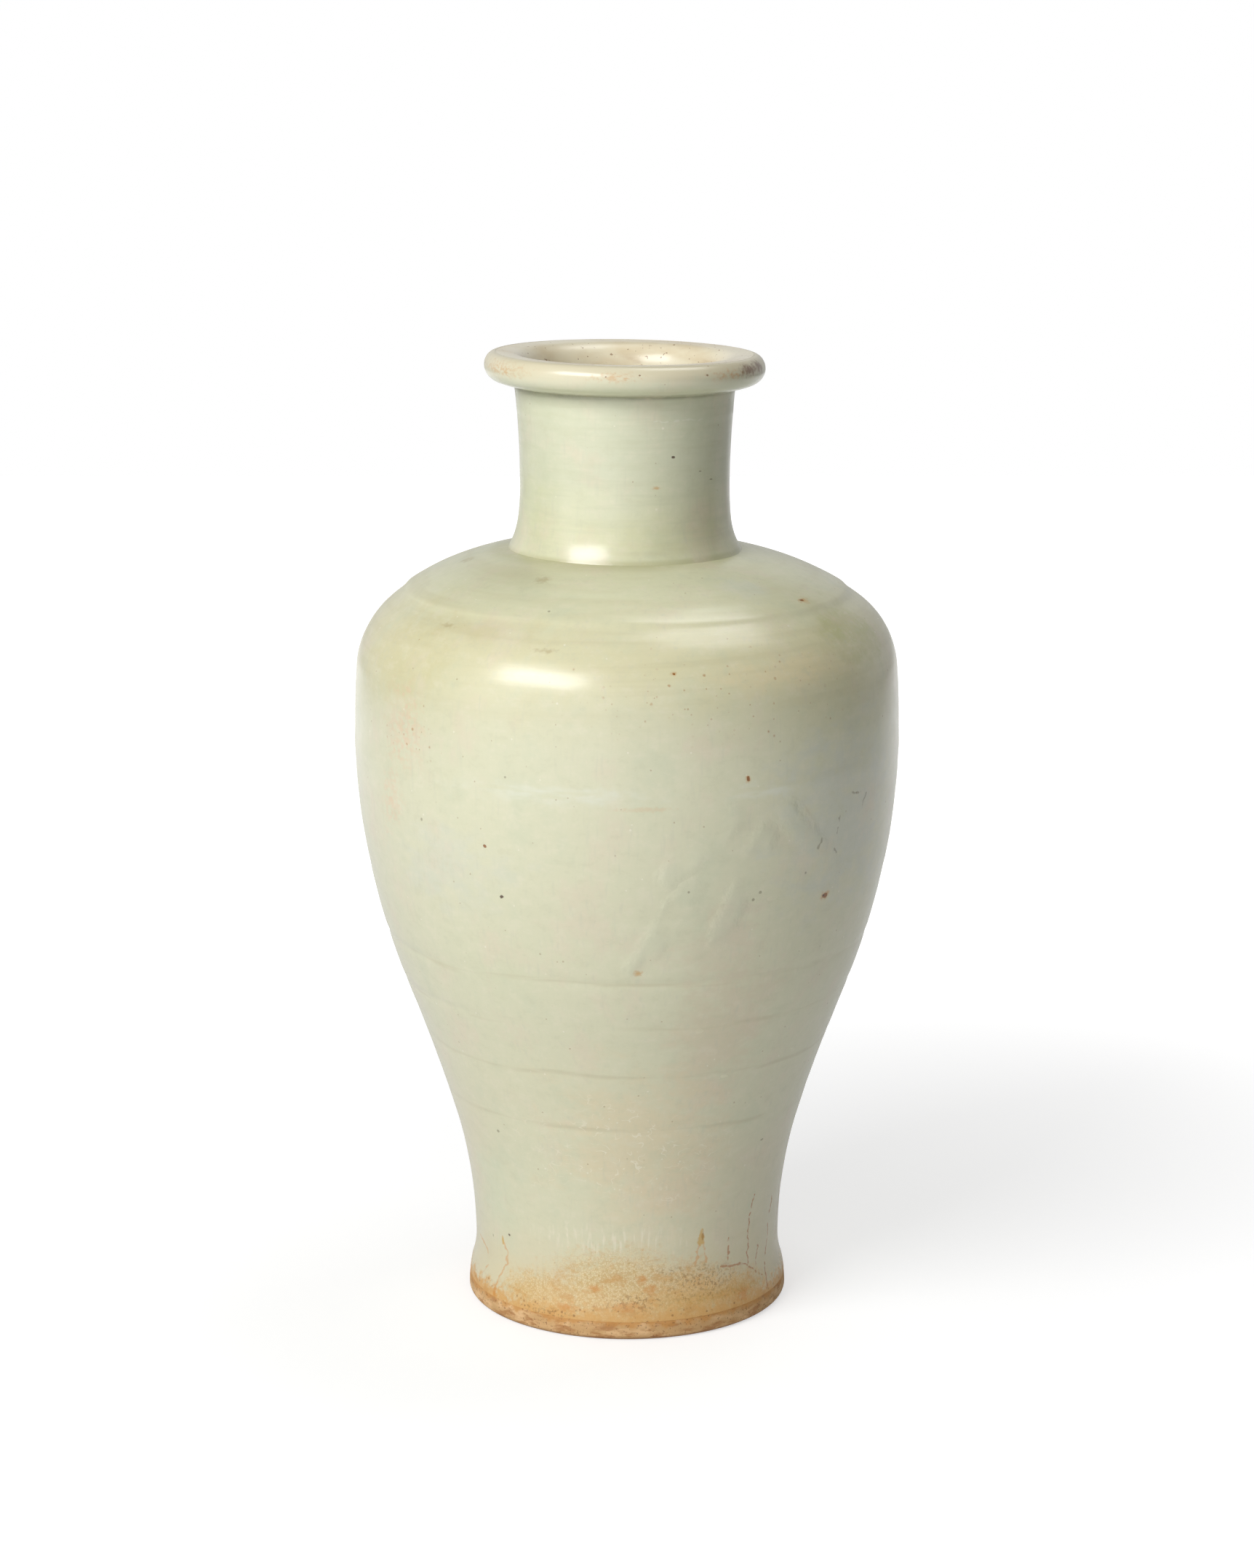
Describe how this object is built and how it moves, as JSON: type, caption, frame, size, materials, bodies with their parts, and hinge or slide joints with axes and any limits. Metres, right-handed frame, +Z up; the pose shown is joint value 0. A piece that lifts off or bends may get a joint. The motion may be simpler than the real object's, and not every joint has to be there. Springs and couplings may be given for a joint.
{
  "type": "meiping vase",
  "caption": "Tall stoneware meiping vase with a narrow foot, high broad shoulder, waisted neck and rolled rim, glazed outside and lined inside, for holding a flower branch.",
  "frame": {"origin": "middle of the foot ring, on the surface that the vase stands on", "axes": "+Z up along the vase's axis, from the foot to the mouth; the vase is round, so X and Y are free"},
  "size_m": [0.197, 0.197, 0.35],
  "materials": {
    "stoneware": "matte",
    "slip": "matte",
    "celadon_glaze": "gloss",
    "lining_glaze": "gloss"
  },
  "bodies": {
    "root": {"foot_section": "stoneware", "belly_section": "stoneware", "shoulder_section": "stoneware", "neck_section": "stoneware", "mouth_rim": "stoneware", "low_slip_seam": "slip", "belly_slip_seam": "slip", "neck_slip_seam": "slip", "rim_slip_seam": "slip", "outer_glaze": "celadon_glaze", "lining_glaze": "lining_glaze"}
  },
  "joints": []
}
